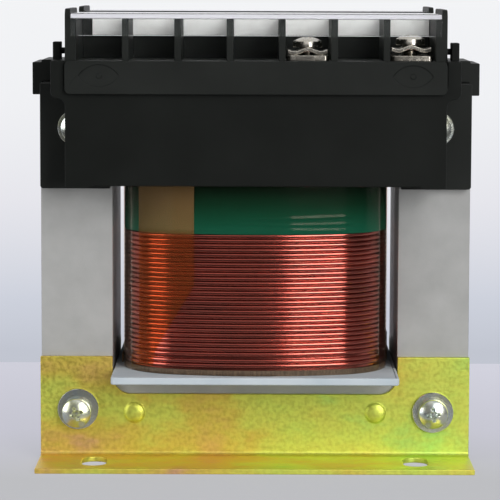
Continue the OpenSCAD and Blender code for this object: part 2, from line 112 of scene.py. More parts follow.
def moved(part, by=(0, 0, 0), axes=((1, 0, 0), (0, 1, 0), (0, 0, 1))):
    # axes are where the shape's own X, Y and Z point to
    return part[0] @ np.array(axes, float) + np.array(by, float), part[1]


alongFront = ((1, 0, 0), (0, 0, 1), (0, -1, 0))   # a shape's own Z points to the front
alongRear = ((-1, 0, 0), (0, 0, 1), (0, 1, 0))    # and to the rear


def makePiece(name, parts, finishes, replaced=(), sharpAngle=40, faceFinish=None):
    verts, faces = joined([outward(p) for p in parts])
    mesh = bpy.data.meshes.new(name)
    mesh.from_pydata(verts * mm, [], faces)
    return finishPiece(name, mesh, finishes, replaced, sharpAngle, faceFinish)


def finishPiece(name, mesh, finishes, replaced, sharpAngle, faceFinish=None):
    for finish in finishes if isinstance(finishes, list) else [finishes]:
        mesh.materials.append(finish)
    if faceFinish is not None:
        mesh.polygons.foreach_set("material_index", np.array(faceFinish, np.int32))
    mesh.polygons.foreach_set("use_smooth", np.ones(len(mesh.polygons), bool))
    if sharpAngle:
        mesh.set_sharp_from_angle(angle=math.radians(sharpAngle))
    mesh.update()
    piece = bpy.data.objects.new(name, mesh)
    scene.collection.objects.link(piece)
    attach(piece, "root")
    if replaced:
        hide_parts(*replaced)
    return piece


def softCopy(name, nodeName, width, finish, segments=2, reshape=None):
    # a CAD node's shape with its loose triangles merged and its sharp edges rounded
    bm = bmesh.new()
    bm.from_mesh(nodes[nodeName].data)
    bmesh.ops.remove_doubles(bm, verts=bm.verts, dist=1e-6)
    bmesh.ops.dissolve_limit(bm, angle_limit=math.radians(0.5), verts=bm.verts, edges=bm.edges)
    verts = [v.co[:] for v in bm.verts]
    faces = [[v.index for v in f.verts] for f in bm.faces]
    bm.free()
    if reshape:
        verts, faces = reshape(verts, faces)
    mesh = bpy.data.meshes.new(name)
    mesh.from_pydata(verts, [], faces)
    piece = finishPiece(name, mesh, finish, [nodeName], 0)
    edge = piece.modifiers.new("roundedEdges", "BEVEL")
    edge.width, edge.segments = width * mm, segments
    edge.limit_method, edge.angle_limit = "ANGLE", math.radians(35)
    edge.use_clamp_overlap = False
    edge.harden_normals = True
    return piece


# Materials. A pattern's scale is one over its real size in metres.

def colour(code):  # an sRGB hex value as linear red, green, blue, alpha
    parts = [int(code[i:i + 2], 16) / 255 for i in (1, 3, 5)]
    return [p / 12.92 if p <= 0.04045 else ((p + 0.055) / 1.055) ** 2.4 for p in parts] + [1]


def addNode(tree, kind, settings=None, inputs=None, stops=None, into=None):
    # a node with its settings; each input is a value, or the socket that feeds it, and the node's
    # first output feeds the socket given as into
    node = tree.nodes.new("ShaderNode" + kind)
    for key, value in (settings or {}).items():
        setattr(node, key, value)
    for key, value in (inputs or {}).items():
        if isinstance(value, bpy.types.NodeSocket):
            tree.links.new(value, node.inputs[key])
        else:
            node.inputs[key].default_value = value
    if stops:
        ramp = node.color_ramp
        while len(ramp.elements) < len(stops):
            ramp.elements.new(0.5)
        for element, (at, code) in zip(ramp.elements, stops):
            element.position, element.color = at, colour(code)
    if into:
        tree.links.new(node.outputs[0], into)
    return node


def newFinish(name, sockets):
    finish = bpy.data.materials.new(name)
    finish.use_nodes = True
    tree = finish.node_tree
    tree.nodes.clear()
    surface = addNode(tree, "BsdfPrincipled", inputs=sockets)
    output = addNode(tree, "OutputMaterial", inputs={"Surface": surface.outputs[0]})
    place = addNode(tree, "TexCoord").outputs["Object"]
    return finish, tree, surface, output, place


# Electrical steel with a baked grey insulating coat: matte and even, mottled faintly over 6 mm
steelFace, tree, surface, output, place = newFinish("electricalSteelVarnished", {
    "Roughness": 0.62, "IOR": 1.5})
mottle = addNode(tree, "TexNoise", inputs={"Vector": place, "Scale": 1 / (6 * mm), "Detail": 3})
addNode(tree, "ValToRGB", inputs={"Fac": mottle.outputs[0]}, stops=[(0.3, "#a1a19f"), (0.7, "#adadab")],
        into=surface.inputs["Base Color"])
tooth = addNode(tree, "TexNoise", inputs={"Vector": place, "Scale": 1 / (0.35 * mm), "Detail": 2})
addNode(tree, "Bump", inputs={"Height": tooth.outputs[0], "Distance": 0.012 * mm},
        into=surface.inputs["Normal"])

# The sheets' punched edges: half sheared and half torn steel, whose tone shifts from packet to packet
steelEdge, tree, surface, output, place = newFinish("electricalSteelPunchedEdge", {"Metallic": 0.6})
stretched = addNode(tree, "Mapping", inputs={"Vector": place, "Scale": (0.15, 1, 0.04)})
packets = addNode(tree, "TexNoise", inputs={
    "Vector": stretched.outputs[0], "Scale": 1 / (3 * mm), "Detail": 4})
addNode(tree, "ValToRGB", inputs={"Fac": packets.outputs[0]},
        stops=[(0.36, "#989694"), (0.48, "#b1afac"), (0.56, "#a5a3a0"), (0.66, "#bdbbb8")],
        into=surface.inputs["Base Color"])
addNode(tree, "MapRange", inputs={"Value": packets.outputs[0], 1: 0.3, 2: 0.7, 3: 0.28, 4: 0.42},
        into=surface.inputs["Roughness"])

# Moulded nylon, unfilled: milky, slightly blue and matt, with faint flow marks over 9 mm
milkyNylon, tree, surface, output, place = newFinish("nylonMoulded", {
    "Roughness": 0.55, "IOR": 1.53, "Specular IOR Level": 0.0})
flow = addNode(tree, "TexNoise", inputs={"Vector": place, "Scale": 1 / (9 * mm), "Detail": 3})
addNode(tree, "ValToRGB", inputs={"Fac": flow.outputs[0]}, stops=[(0.3, "#b9c4cb"), (0.7, "#c9d1d6")],
        into=surface.inputs["Base Color"])
skin = addNode(tree, "TexNoise", inputs={"Vector": place, "Scale": 1 / (1.2 * mm), "Detail": 2})
addNode(tree, "Bump", inputs={"Height": skin.outputs[0], "Distance": 0.015 * mm},
        into=surface.inputs["Normal"])

# Copper wire in red-brown enamel: the metal shows through a clear coat, darker where varnish pooled.
# The coat's IOR is above enamel's own 1.55, so that the highlights come out pale rather than red
magnetWire, tree, surface, output, place = newFinish("copperWireEnamelled", {
    "Metallic": 1.0, "Roughness": 0.2, "Coat Weight": 1.0, "Coat Roughness": 0.16, "Coat IOR": 1.9})
stretched = addNode(tree, "Mapping", inputs={"Vector": place, "Scale": (0.3, 0.3, 1.6)})
shade = addNode(tree, "TexNoise", inputs={
    "Vector": stretched.outputs[0], "Scale": 1 / (4 * mm), "Detail": 2})
addNode(tree, "ValToRGB", inputs={"Fac": shade.outputs[0]},
        stops=[(0.3, "#9c382f"), (0.5, "#ae4238"), (0.7, "#bf4e42")], into=surface.inputs["Base Color"])
drawn = addNode(tree, "Mapping", inputs={"Vector": place, "Scale": (0.15, 0.15, 1)})
marks = addNode(tree, "TexNoise", inputs={"Vector": drawn.outputs[0], "Scale": 1 / (0.5 * mm)})
addNode(tree, "Bump", inputs={"Height": marks.outputs[0], "Distance": 0.001 * mm},
        into=surface.inputs["Normal"])

# Kraft paper: matte, tan, with fibres about 0.6 mm long
kraftPaper, tree, surface, output, place = newFinish("kraftPaper", {"Roughness": 0.85, "IOR": 1.45})
stretched = addNode(tree, "Mapping", inputs={"Vector": place, "Scale": (1, 0.3, 1)})
fibres = addNode(tree, "TexNoise", inputs={
    "Vector": stretched.outputs[0], "Scale": 1 / (0.6 * mm), "Detail": 3})
addNode(tree, "ValToRGB", inputs={"Fac": fibres.outputs[0]}, stops=[(0.3, "#7f6549"), (0.7, "#a1835f")],
        into=surface.inputs["Base Color"])
addNode(tree, "Bump", inputs={"Height": fibres.outputs[0], "Distance": 0.03 * mm},
        into=surface.inputs["Normal"])

# Crepe paper tape soaked in varnish: olive grey and dull, with wrinkles 0.4 mm apart
marginFinish, tree, surface, output, place = newFinish("crepePaperTape", {"Roughness": 0.55, "IOR": 1.5})
stretched = addNode(tree, "Mapping", inputs={"Vector": place, "Scale": (1, 1, 0.25)})
crepe = addNode(tree, "TexNoise", inputs={
    "Vector": stretched.outputs[0], "Scale": 1 / (0.4 * mm), "Detail": 2})
addNode(tree, "ValToRGB", inputs={"Fac": crepe.outputs[0]}, stops=[(0.3, "#443c34"), (0.7, "#62584c")],
        into=surface.inputs["Base Color"])
addNode(tree, "Bump", inputs={"Height": crepe.outputs[0], "Distance": 0.03 * mm},
        into=surface.inputs["Normal"])

# Polyester tape with green adhesive: a glossy film over faintly streaked glue. Its colour is painted darker
# towards its top, nearly to black: painted shade under the overhanging housing, and its dark reflection
greenFinish, tree, surface, output, place = newFinish("polyesterTapeGreen", {
    "Roughness": 0.3, "IOR": 1.5, "Specular IOR Level": 0.0, "Coat Weight": 0.25, "Coat Roughness": 0.08})
stretched = addNode(tree, "Mapping", inputs={"Vector": place, "Scale": (0.3, 0.3, 1.6)})
glue = addNode(tree, "TexNoise", inputs={
    "Vector": stretched.outputs[0], "Scale": 1 / (5 * mm), "Detail": 3})
height = addNode(tree, "SeparateXYZ", inputs={"Vector": place}).outputs["Z"]
# painted shade: the tape's colour darkens with height towards the housing above
depth = addNode(tree, "MapRange", inputs={"Value": height, 1: 46.5 * mm, 2: 55.5 * mm, 3: -0.05, 4: 0.85})
streaksAndPaintedShade = addNode(tree, "Math", {"operation": "MULTIPLY_ADD"}, {
    0: glue.outputs[0], 1: 0.12, 2: depth.outputs[0]})
addNode(tree, "ValToRGB", inputs={"Fac": streaksAndPaintedShade.outputs[0]}, stops=[
    (0.0, "#165645"), (0.3, "#124433"), (0.48, "#103526"), (0.7, "#0f271c"), (0.9, "#0d1a11")],
        into=surface.inputs["Base Color"])
addNode(tree, "Bump", inputs={"Height": glue.outputs[0], "Distance": 0.02 * mm},
        into=surface.inputs["Normal"])

# Clear polyester film, 50 microns: too thin to bend light, so only its faint gloss shows, which grows
# at its rounded sides, with slow waves where it isn't quite tight
clearFilm, tree, surface, output, place = newFinish("polyesterFilmClear", {
    "Base Color": colour("#f4f0ea"), "Metallic": 1.0, "Roughness": 0.06})
waves = addNode(tree, "TexNoise", inputs={"Vector": place, "Scale": 1 / (9 * mm), "Detail": 1})
addNode(tree, "Bump", inputs={"Height": waves.outputs[0], "Distance": 0.02 * mm},
        into=surface.inputs["Normal"])
edge = addNode(tree, "Fresnel", inputs={"IOR": 1.12})
gloss = addNode(tree, "MapRange", inputs={"Value": edge.outputs[0], 4: 0.35})
clear = addNode(tree, "BsdfTransparent", inputs={"Color": colour("#fffaf5")})
addNode(tree, "MixShader", inputs={0: gloss.outputs[0], 1: clear.outputs[0], 2: surface.outputs[0]},
        into=output.inputs["Surface"])

# Glass-cloth tape with amber glue, thin enough to see through, and thinner over the wire, where one
# layer is left: tan over the green, orange over the copper. The cloth is drawn coarser, at 0.5 mm
amberTape, tree, surface, output, place = newFinish("clothTapeAmber", {
    "Roughness": 0.5, "IOR": 1.45, "Specular IOR Level": 0.1})
cloth = addNode(tree, "TexNoise", inputs={"Vector": place, "Scale": 1 / (0.5 * mm), "Detail": 2})
height = addNode(tree, "SeparateXYZ", inputs={"Vector": place}).outputs["Z"]
layers = addNode(tree, "MapRange", inputs={"Value": height, 1: 45 * mm, 2: 46.5 * mm, 3: 0.07, 4: 0.26})
doubled = addNode(tree, "MapRange", inputs={"Value": height, 1: 45 * mm, 2: 46.5 * mm, 3: 0.0, 4: 0.7})
woven = addNode(tree, "Math", {"operation": "MULTIPLY_ADD"}, {
    0: cloth.outputs[0], 1: 0.3, 2: doubled.outputs[0]})
addNode(tree, "ValToRGB", inputs={"Fac": woven.outputs[0]}, stops=[
    (0.1, "#a8643f"), (0.2, "#b8734b"), (0.78, "#968463"), (0.92, "#a28f6d")],
        into=surface.inputs["Base Color"])
clearer = addNode(tree, "BsdfTransparent", inputs={"Color": colour("#fff0da")})
addNode(tree, "MixShader", inputs={0: layers.outputs[0], 1: clearer.outputs[0], 2: surface.outputs[0]},
        into=output.inputs["Surface"])

# Zinc plate with yellow chromate: thin-film colours drift from rose and gold to green over 5 to 20 mm
yellowZinc, tree, surface, output, place = newFinish("zincYellowChromate", {"Metallic": 0.8})
stretched = addNode(tree, "Mapping", inputs={"Vector": place, "Scale": (0.6, 1, 1.1)})
drift = addNode(tree, "TexNoise", inputs={
    "Vector": stretched.outputs[0], "Scale": 1 / (15 * mm), "Detail": 4, "Roughness": 0.6})
across = addNode(tree, "SeparateXYZ", inputs={"Vector": place}).outputs["X"]
tilt = addNode(tree, "MapRange", inputs={"Value": across, 1: -0.045, 2: 0.045, 3: -0.035, 4: 0.09})
tone = addNode(tree, "Math", {"operation": "ADD"}, {0: drift.outputs[0], 1: tilt.outputs[0]})
film = addNode(tree, "ValToRGB", inputs={"Fac": tone.outputs[0]}, stops=[
    (0.28, "#e0ac8c"), (0.38, "#e8c468"), (0.47, "#e5d05c"), (0.56, "#e0e264"), (0.66, "#d8e666"),
    (0.78, "#b4e472")])
grain = addNode(tree, "TexNoise", inputs={"Vector": place, "Scale": 1 / (0.7 * mm), "Detail": 3})
speckle = addNode(tree, "ValToRGB", inputs={"Fac": grain.outputs[0]}, stops=[
    (0.36, "#f5f4ef"), (0.6, "#ffffff")])
mottled = addNode(tree, "Mix", {"data_type": "RGBA", "blend_type": "MULTIPLY"}, {
    0: 1.0, 6: film.outputs[0], 7: speckle.outputs[0]})
tree.links.new(mottled.outputs[2], surface.inputs["Base Color"])
addNode(tree, "MapRange", inputs={"Value": grain.outputs[0], 1: 0.3, 2: 0.7, 3: 0.34, 4: 0.5},
        into=surface.inputs["Roughness"])
addNode(tree, "Bump", inputs={"Height": grain.outputs[0], "Distance": 0.012 * mm},
        into=surface.inputs["Normal"])

# Zinc plate with a clear-blue passivate: silver with a breath of yellow and green
brightZinc, tree, surface, output, place = newFinish("zincClearPassivate", {
    "Metallic": 1.0, "Roughness": 0.26})
haze = addNode(tree, "TexNoise", inputs={"Vector": place, "Scale": 1 / (3 * mm), "Detail": 3})
addNode(tree, "ValToRGB", inputs={"Fac": haze.outputs[0]},
        stops=[(0.3, "#dcdfbe"), (0.5, "#e4e6d8"), (0.7, "#d4dede")], into=surface.inputs["Base Color"])
tumbled = addNode(tree, "TexNoise", inputs={"Vector": place, "Scale": 1 / (0.4 * mm), "Detail": 2})
addNode(tree, "Bump", inputs={"Height": tumbled.outputs[0], "Distance": 0.01 * mm},
        into=surface.inputs["Normal"])

# Black polycarbonate from a fine spark-eroded tool: dull satin, with grain 0.25 mm across. The frame
# and the strip are painted a shade lighter than the housing: painted light that lifts them where they lie in
# shade
blackPlastic = {}
# the lighter stops of the frame and the strip are painted light
for moulding, dark, light in (("Housing", "#141614", "#1a1c1a"), ("Frame", "#202220", "#272927"),
                              ("Strip", "#1e201e", "#252725")):
    blackPlastic[moulding], tree, surface, output, place = newFinish("polycarbonateBlack" + moulding, {
        "Roughness": 0.46, "IOR": 1.58, "Specular IOR Level": 0.07})
    cast = addNode(tree, "TexNoise", inputs={"Vector": place, "Scale": 1 / (14 * mm), "Detail": 3})
    addNode(tree, "ValToRGB", inputs={"Fac": cast.outputs[0]}, stops=[(0.3, dark), (0.7, light)],
            into=surface.inputs["Base Color"])
    spark = addNode(tree, "TexNoise", inputs={"Vector": place, "Scale": 1 / (0.25 * mm), "Detail": 2})
    addNode(tree, "Bump", inputs={"Height": spark.outputs[0], "Distance": 0.012 * mm},
            into=surface.inputs["Normal"])

# Clear polycarbonate: see-through, slightly grey in its thickness, with moulding waves over 8 mm. The
# plate's upright edges and the lip's lower one get a painted highlight, a matt white mixed in. Its IOR is
# below the plastic's own 1.58, because at that its flat top mirrors the softbox too strongly
clearPlastic, tree, surface, output, place = newFinish("polycarbonateClear", {
    "Base Color": colour("#fcfdfd"), "Roughness": 0.05, "IOR": 1.3, "Transmission Weight": 1.0})
swirl = addNode(tree, "TexNoise", inputs={"Vector": place, "Scale": 1 / (8 * mm), "Detail": 2})
addNode(tree, "Bump", inputs={"Height": swirl.outputs[0], "Distance": 0.015 * mm},
        into=surface.inputs["Normal"])
# it is thin, so light from the lamps goes straight on
rays = addNode(tree, "LightPath").outputs["Is Shadow Ray"]
straight = addNode(tree, "BsdfTransparent", inputs={"Color": colour("#f2f4f4")})
clear = addNode(tree, "MixShader", inputs={0: rays, 1: surface.outputs[0], 2: straight.outputs[0]})
# painted highlight: heights that bound the white glint along the plate's edges and the lip's lower edge
paintedGlint = {  # heights in millimetres that the plate is above and the lip's lower edge below
    "plateFrom": 87.1, "lipTo": 82.4, "share": 0.75}
axes = addNode(tree, "SeparateXYZ", inputs={"Vector": addNode(tree, "TexCoord").outputs["Normal"]})
facing = addNode(tree, "Math", {"operation": "ABSOLUTE"}, {0: axes.outputs["Y"]})
upright = addNode(tree, "Math", {"operation": "GREATER_THAN"}, {0: facing.outputs[0], 1: 0.5})
height = addNode(tree, "SeparateXYZ", inputs={"Vector": place}).outputs["Z"]
onPlate = addNode(tree, "Math", {"operation": "GREATER_THAN"}, {0: height, 1: paintedGlint["plateFrom"] * mm})
plateEdge = addNode(tree, "Math", {"operation": "MULTIPLY"}, {0: upright.outputs[0], 1: onPlate.outputs[0]})
lipEdge = addNode(tree, "Math", {"operation": "LESS_THAN"}, {0: height, 1: paintedGlint["lipTo"] * mm})
paintedGlintMask = addNode(tree, "Math", {"operation": "MAXIMUM"}, {0: plateEdge.outputs[0], 1: lipEdge.outputs[0]})
share = addNode(tree, "Math", {"operation": "MULTIPLY"}, {0: paintedGlintMask.outputs[0], 1: paintedGlint["share"]})
# the painted highlight's white
paintedGlintWhite = addNode(tree, "BsdfDiffuse", inputs={"Color": colour("#dddce2")})
addNode(tree, "MixShader", inputs={0: share.outputs[0], 1: clear.outputs[0], 2: paintedGlintWhite.outputs[0]},
        into=output.inputs["Surface"])

# White card strip: matte, and a little dirty in blotches of 4 mm
whiteCard, tree, surface, output, place = newFinish("cardWhite", {"Roughness": 0.7})
grime = addNode(tree, "TexNoise", inputs={"Vector": place, "Scale": 1 / (4 * mm), "Detail": 4})
addNode(tree, "ValToRGB", inputs={"Fac": grime.outputs[0]}, stops=[(0.3, "#ece9e6"), (0.6, "#fbf9f6")],
        into=surface.inputs["Base Color"])

# Nickel plate, tumbled: bright warm silver, with scratches under a millimetre
nickelPlate, tree, surface, output, place = newFinish("nickelPlated", {"Metallic": 1.0})
warmth = addNode(tree, "TexNoise", inputs={"Vector": place, "Scale": 1 / (2.5 * mm), "Detail": 2})
addNode(tree, "ValToRGB", inputs={"Fac": warmth.outputs[0]}, stops=[(0.3, "#b5afa3"), (0.7, "#c6c1b7")],
        into=surface.inputs["Base Color"])
scuff = addNode(tree, "TexNoise", inputs={"Vector": place, "Scale": 1 / (0.8 * mm), "Detail": 3})
addNode(tree, "MapRange", inputs={"Value": scuff.outputs[0], 1: 0.3, 2: 0.7, 3: 0.16, 4: 0.3},
        into=surface.inputs["Roughness"])
print("materials ready")


# The camera: how far it stands in front of the core's face and how high, its tilt and slight roll, its
# lens, and how far the picture is shifted to frame the object. Millimetres and degrees

camera = {"fromFront": 500, "height": 94.7, "tiltDown": 5.51, "lens": 184.5, "roll": 0.2,
          "shiftX": -0.011, "shiftY": -0.05}
coreFaceY = nodeBox("e_laminations")[0][1]
lens = bpy.data.cameras.new("camera")
eye = bpy.data.objects.new("camera", lens)
scene.collection.objects.link(eye)
lens.sensor_width, lens.lens = 36, camera["lens"]
lens.shift_x, lens.shift_y = camera["shiftX"], camera["shiftY"]
lens.clip_start, lens.clip_end = 0.01, 30
eye.location = (0, (coreFaceY - camera["fromFront"]) * mm, camera["height"] * mm)
lookDown = Matrix.Rotation(math.radians(90 - camera["tiltDown"]), 3, "X")
eye.rotation_euler = (lookDown @ Matrix.Rotation(math.radians(camera["roll"]), 3, "Z")).to_euler()
scene.camera = eye


# The core: every punched sheet is a closed shell of its own, all E sheets in one piece and all I in one

core = {  # millimetres; a packet of turnEvery sheets is laid the other way up from the one before
    "sheet": 0.5, "apart": 0.006, "chamfer": 0.06, "wander": 0.035, "holeR": 2.25, "holePoints": 16,
    "turnEvery": 2, "jointGap": 0.06}


def sheetPart(outline, holes, rims, plates, y0, y1, inset):
    # outline and hole loops as rings at the two faces and just inside them, where the rim is full width
    n = len(outline)
    following = np.roll(outline, -1, axis=0) - outline
    inward = np.stack([-following[:, 1], following[:, 0]], 1)
    inward /= np.linalg.norm(inward, axis=1, keepdims=True)
    small = outline + inset * (inward + np.roll(inward, 1, axis=0))
    loops = [(small, y0), (outline, y0 + inset), (outline, y1 - inset), (small, y1)]
    flat = np.concatenate([np.concatenate([loop, holes]) for loop, _ in loops])
    depth = np.repeat([y for _, y in loops], n + len(holes))
    verts = np.stack([flat[:, 0], depth, flat[:, 1]], 1)
    layer, faces, edge = n + len(holes), [], []
    for ring in rims:  # rims: index loops of the outline and of each hole
        for k in range(3):
            for a, b in zip(ring, ring[1:] + ring[:1]):
                faces.append([k * layer + a, k * layer + b, (k + 1) * layer + b, (k + 1) * layer + a])
                edge.append(1)
    for f in plates:
        faces.append(f[::-1])
        faces.append([3 * layer + i for i in f])
        edge += [0, 0]
    return verts, [f[::-1] for f in faces], edge


def holeLoop(x, z, r, startAngle, count):
    a = math.radians(startAngle) + np.arange(count) * 2 * math.pi / count
    return np.stack([x + r * np.cos(a), z + r * np.sin(a)], 1)


def arcBack(first, count, fromIndex, toIndex):
    # hole points walked backwards from one index to another, as part of a face's edge
    steps = (fromIndex - toIndex) % count or count
    return [first + (fromIndex - k) % count for k in range(steps + 1)]


def buildCore():
    low, high = nodeBox("e_laminations")
    limb = (high[0] - low[0]) / 6
    width, height = high[0], high[2] - low[2]
    holeR, m = core["holeR"], core["holePoints"]
    window = 2 * limb
    eOutline = np.array([
        [-width, 0], [width, 0], [width, height - limb], [window, height - limb], [window, limb],
        [limb, limb], [limb, height - limb], [-limb, height - limb], [-limb, limb], [-window, limb],
        [-window, height - limb], [-width, height - limb]])
    half = limb / 2
    right = holeLoop(width - half, half, holeR, -45, m)
    left = holeLoop(half - width, half, holeR, 45, m)
    r0, l0 = 12, 12 + m
    ePlates = [
        [1, 2, 3, 4] + arcBack(r0, m, m // 2, 0),
        [0, 1] + arcBack(r0, m, 0, m // 2) + [4, 5, 8, 9] + arcBack(l0, m, 0, m // 2),
        [0] + arcBack(l0, m, m // 2, 0) + [9, 10, 11],
        [5, 6, 7, 8]]
    eRims = [list(range(12)), list(range(r0, r0 + m))[::-1], list(range(l0, l0 + m))[::-1]]
    joint = height - limb + core["jointGap"]
    iOutline = np.array([[-width, joint], [width, joint], [width, height], [-width, height]])
    rightUp = holeLoop(width - half, height - half, holeR, -45, m)
    leftUp = holeLoop(half - width, height - half, holeR, 45, m)
    r1, l1 = 4, 4 + m
    quarter = m // 4
    iPlates = [
        [1, 2] + arcBack(r1, m, quarter, 0),
        [0, 1] + arcBack(r1, m, 0, quarter) + [2, 3] + arcBack(l1, m, quarter, 2 * quarter),
        [0] + arcBack(l1, m, 2 * quarter, quarter) + [3]]
    iRims = [list(range(4)), list(range(r1, r1 + m))[::-1], list(range(l1, l1 + m))[::-1]]
    count = int(round((high[1] - low[1]) / core["sheet"]))
    rng = np.random.default_rng(7)
    slip = rng.uniform(-1, 1, (count, 2)) * core["wander"]
    for kind, outline, holes, rims, plates, hidden in (
            ("laminationsE", eOutline, [right, left], eRims, ePlates, "e_laminations"),
            ("laminationsI", iOutline, [rightUp, leftUp], iRims, iPlates, "i_laminations")):
        parts, edges = [], []
        for i in range(count):
            y0 = low[1] + i * core["sheet"]
            y1 = y0 + core["sheet"] - (core["apart"] if i < count - 1 else 0)
            v, f, e = sheetPart(outline, np.concatenate(holes), rims, plates, y0, y1, core["chamfer"])
            v = v.copy()
            if (i // core["turnEvery"]) % 2:
                v[:, 2] = height - v[:, 2]
                f = [face[::-1] for face in f]
            inner = 0 if i in (0, count - 1) else 1
            v[:, 0] += slip[i, 0] * inner
            v[:, 2] = np.clip(v[:, 2] + slip[i, 1] * inner, 0, height) + low[2]
            parts.append((v, f))
            edges += e
        makePiece(kind, parts, [steelFace, steelEdge], [hidden], 30, edges)


buildCore()
print("core stacked")


# The coil

coil = {  # millimetres; out is how far a surface stands beyond the CAD's coil
    "crownRun": 45, "crownSin": 0.28, "turns": 28, "perTurn": 132, "section": 10, "wireR": 0.452,
    "axisDepth": 0.48, "pitch": 0.915, "lowTurns": 2, "stepTurns": 0.16, "turnGap": 0.4,
    "aboveMargin": 0.4, "wander": 0.008, "bandIn": 4.7, "bandOut": -0.62, "patchEdge": 0.04,
    "marginLap": (0.49, 1.022), "tapeIn": 0.48, "marginOut": -0.12, "greenOut": -0.1, "filmIn": -0.02,
    "filmOut": 0.09}
filmLow, filmHigh = nodeBox("outer_film")
tapeLow, tapeHigh = nodeBox("green_tape")
marginLow, marginHigh = nodeBox("margin_tape")
wireLow, wireHigh = nodeBox("secondary_winding")
coilHalfW, coilHalfD = tapeHigh[0], tapeHigh[1]


def coilPlan(s, out):
    # s runs once round the coil from 0 to 1, from the middle of the front towards +X. A quarter is an
    # arc of the crowned face, a corner arc and half of the straight side, each tangent to the next
    alpha = math.asin(coil["crownSin"])
    cornerX = coil["crownRun"] * coil["crownSin"]
    cornerR = coilHalfW - cornerX
    cornerY = coilHalfD - cornerR - coil["crownRun"] * (1 - math.cos(alpha))
    faceR = coil["crownRun"] + cornerR
    faceY = coilHalfD - faceR
    lengths = np.array([faceR * alpha, cornerR * (math.pi / 2 - alpha), cornerY])
    quarterRun = lengths.sum()
    s = np.asarray(s, float) % 1 * 4
    k = np.minimum(s.astype(int), 3)
    t = s - k
    t = np.where(k % 2 == 1, 1 - t, t) * quarterRun
    onFace, onCorner = t < lengths[0], t < lengths[0] + lengths[1]
    a = np.where(onFace, t / faceR, np.where(onCorner, alpha + (t - lengths[0]) / cornerR, math.pi / 2))
    nx, ny = np.sin(a), np.cos(a)
    x = np.where(onFace, faceR * nx, np.where(onCorner, cornerX + cornerR * nx, coilHalfW))
    y = np.where(onFace, faceY + faceR * ny, np.where(onCorner, cornerY + cornerR * ny,
                                                     cornerY - (t - lengths[0] - lengths[1])))
    sx, sy = np.where(k < 2, 1, -1), np.where((k == 0) | (k == 3), -1, 1)
    return np.stack([sx * (x + out * nx), sy * (y + out * ny)], -1), np.stack([sx * nx, sy * ny], -1)


def coilTurns():
    # a round section carried round the coil; its height is pitch times the turns made, with one
    # smooth step where the low turns stand apart, and a slight wander from turn to turn
    u = np.linspace(0, coil["turns"], coil["turns"] * coil["perTurn"] + 1)
    step = np.clip((u - coil["lowTurns"] + coil["stepTurns"] / 2) / coil["stepTurns"], 0, 1)
    step = step * step * (3 - 2 * step)
    z = marginHigh[2] + coil["aboveMargin"] + coil["pitch"] * u + coil["turnGap"] * step
    z = z + coil["wander"] * (np.sin(5.1 * u) + 0.6 * np.sin(2 * math.pi * u + 0.7 * u))
    xy, normal = coilPlan(u + 0.5, -coil["axisDepth"])
    a = np.arange(coil["section"]) * 2 * math.pi / coil["section"]
    r = coil["wireR"]
    rings = np.stack([
        xy[:, None, 0] + r * np.cos(a) * normal[:, None, 0],
        xy[:, None, 1] + r * np.cos(a) * normal[:, None, 1],
        z[:, None] + r * np.sin(a) + 0 * normal[:, None, 0]], -1)
    return tube(rings)


def coilSleeve(z0, z1, inner, outer, count=160, rows=2, bulge=None):
    # a closed band round the coil: up its outer side, and back down its inner side
    s = np.arange(count) / count
    z = np.linspace(z0, z1, rows)
    zs = np.concatenate([z, z[::-1]])
    out = np.concatenate([np.full(rows, outer), np.full(rows, -inner)])[None, :] + np.zeros((count, 1))
    zz = zs[None, :] + np.zeros((count, 1))
    if bulge:
        out[:, :rows] += bulge(s[:, None], z[None, :])
    xy, normal = coilPlan(s, 0)
    rings = np.stack([xy[:, None, 0] + out * normal[:, None, 0],
                      xy[:, None, 1] + out * normal[:, None, 1], zz], -1)
    return hoop(rings)


def coilPatch(s0, s1, z0, z1, inner, outer, count):
    # part of such a band, with thin ends
    s = np.linspace(s0, s1, count)
    xy, normal = coilPlan(s, 0)
    edge = coil["patchEdge"]
    profileOut = np.array([-inner, outer - edge, outer, outer, outer - edge, -inner])
    profileZ = np.array([z0, z0, z0 + edge, z1 - edge, z1, z1])
    out = np.tile(profileOut, (count, 1))
    rings = np.stack([xy[:, None, 0] + out * normal[:, None, 0],
                      xy[:, None, 1] + out * normal[:, None, 1],
                      profileZ[None, :] + 0 * out], -1)
    return tube(rings)


tab = {  # turn fractions of its sides, and the heights between which its right side runs inwards
    "left": 0.865, "right": 0.9335, "rightLow": 0.886, "slantFrom": 35.5, "slantTo": 21.9,
    "rows": 24, "count": 40, "thick": 0.018}


def tabPatch(z0, z1):
    # rows of height; along each, s runs from the left side to a right side that a clamped straight
    # line moves inwards lower down. Out along the outer face and back along the inner one
    z = np.linspace(z0, z1, tab["rows"])
    slant = np.clip((z - tab["slantTo"]) / (tab["slantFrom"] - tab["slantTo"]), 0, 1)
    right = tab["rightLow"] + (tab["right"] - tab["rightLow"]) * slant
    t = np.linspace(0, 1, tab["count"])[:, None]
    s = tab["left"] + t * (np.concatenate([right, right[::-1]])[None, :] - tab["left"])
    zz = np.concatenate([z, z[::-1]])[None, :] + 0 * s
    out = np.concatenate([np.full(tab["rows"], tab["thick"]), np.zeros(tab["rows"])])[None, :] + 0 * s
    xy, normal = coilPlan(s, 0)
    return tube(np.stack([xy[..., 0] + out * normal[..., 0], xy[..., 1] + out * normal[..., 1], zz], -1))


wrinkles = {  # each ridge: its height, climb in a turn, width, rise, and where and how far along it runs
    "ridges": ((48.85, 0.3, 0.22, 0.075, 0.055, 0.05), (47.7, 0.4, 0.2, 0.06, 0.06, 0.07),
               (46.5, 0.2, 0.3, 0.03, 0.04, 0.12)),
    "ripple": 0.004}


